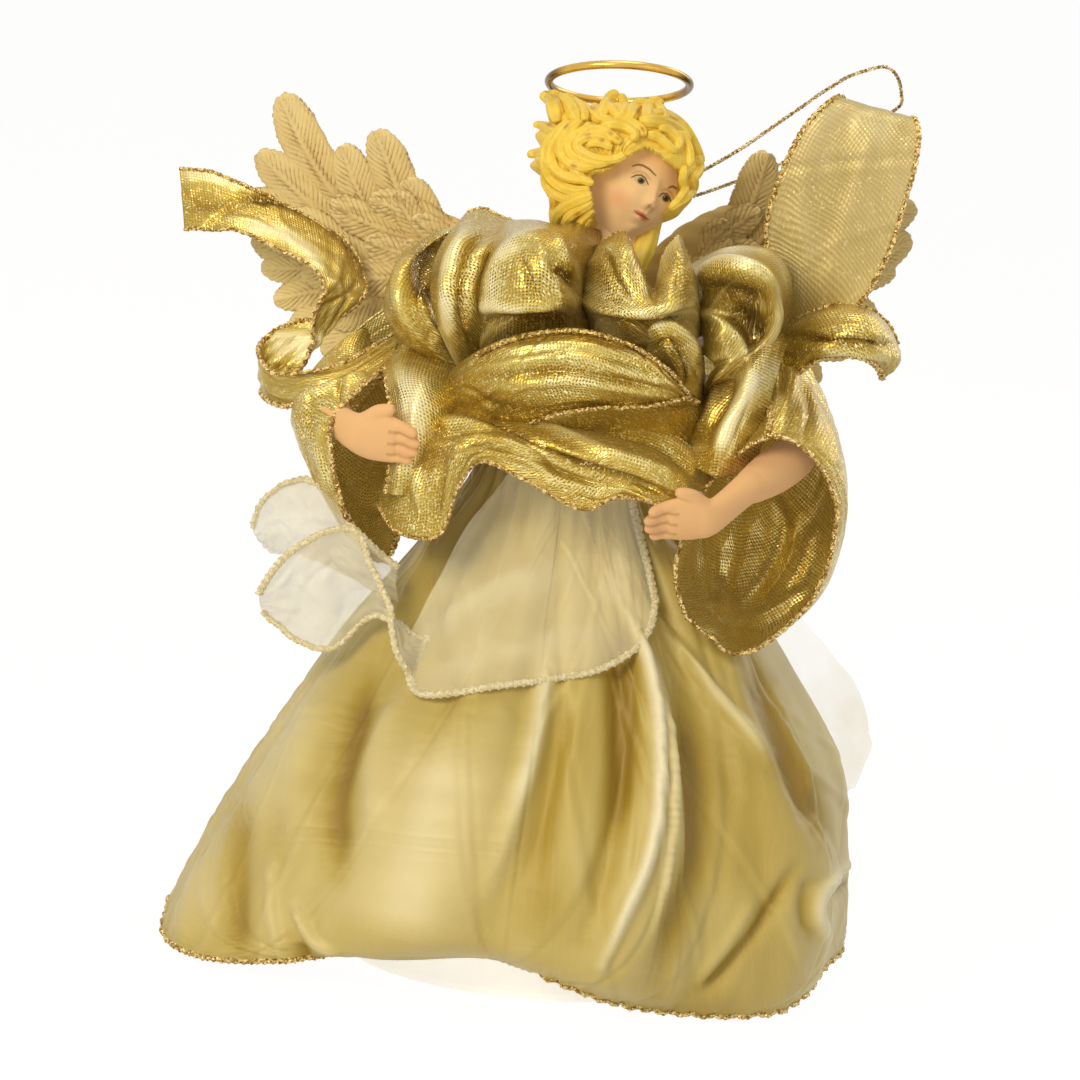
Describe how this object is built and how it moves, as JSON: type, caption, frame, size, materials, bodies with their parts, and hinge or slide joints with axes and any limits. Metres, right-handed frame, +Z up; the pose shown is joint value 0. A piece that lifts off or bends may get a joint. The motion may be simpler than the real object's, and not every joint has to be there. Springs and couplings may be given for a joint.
{
  "type": "angel ornament",
  "caption": "Dressed angel figure for a tree top or shelf, with moulded wings, halo, satin skirt and ribbon dress.",
  "frame": {"origin": "middle of the bounding box of everything but the hanging loop, at the flat rim of the base cone", "axes": "+Z up through the figure, +X towards the figure's left hand, -Y the way the skirt faces"},
  "size_m": [0.2253, 0.1724, 0.2763],
  "materials": {
    "card": "stiff white card",
    "foam": "dull foam",
    "skin": "painted, satin",
    "hair": "painted, satin, brown wash",
    "wing": "painted, cream with a brown wash",
    "plated": "polished",
    "steel": "dull",
    "satin": "satin weave",
    "lame": "metallic ribbon",
    "organza": "sheer",
    "braid": "metallic thread"
  },
  "bodies": {
    "root": {"base_cone": "card", "torso_form": "foam", "arm_wire": "steel", "left_wing": "wing", "right_wing": "wing", "head_casting": "skin", "hair_casting": "hair", "neck_trim": "braid", "halo_ring": "plated", "cord_eyelet": "plated", "left_forearm": "skin", "right_forearm": "skin", "skirt": "satin", "skirt_hem_braid": "braid", "bow_knot": "lame", "left_sleeve": "lame", "right_sleeve": "lame", "bodice_wrap": "lame", "sash_drape": "lame", "collar_puff_far_right": "lame", "collar_puff_right": "lame", "collar_puff_middle": "lame", "collar_puff_throat": "lame", "collar_puff_low": "lame", "bodice_side_left": "lame", "sash_flap_right": "lame", "collar_puff_left": "lame", "shoulder_ruffle_left": "lame", "ribbon_tail_right": "lame", "bow_loop_left": "lame", "bow_loop_back": "lame", "bow_tail_back": "lame", "organza_panel": "organza", "organza_flounce_side": "organza", "organza_flounce_top": "organza", "organza_flounce_back": "organza", "hanging_loop": "braid"}
  },
  "joints": []
}
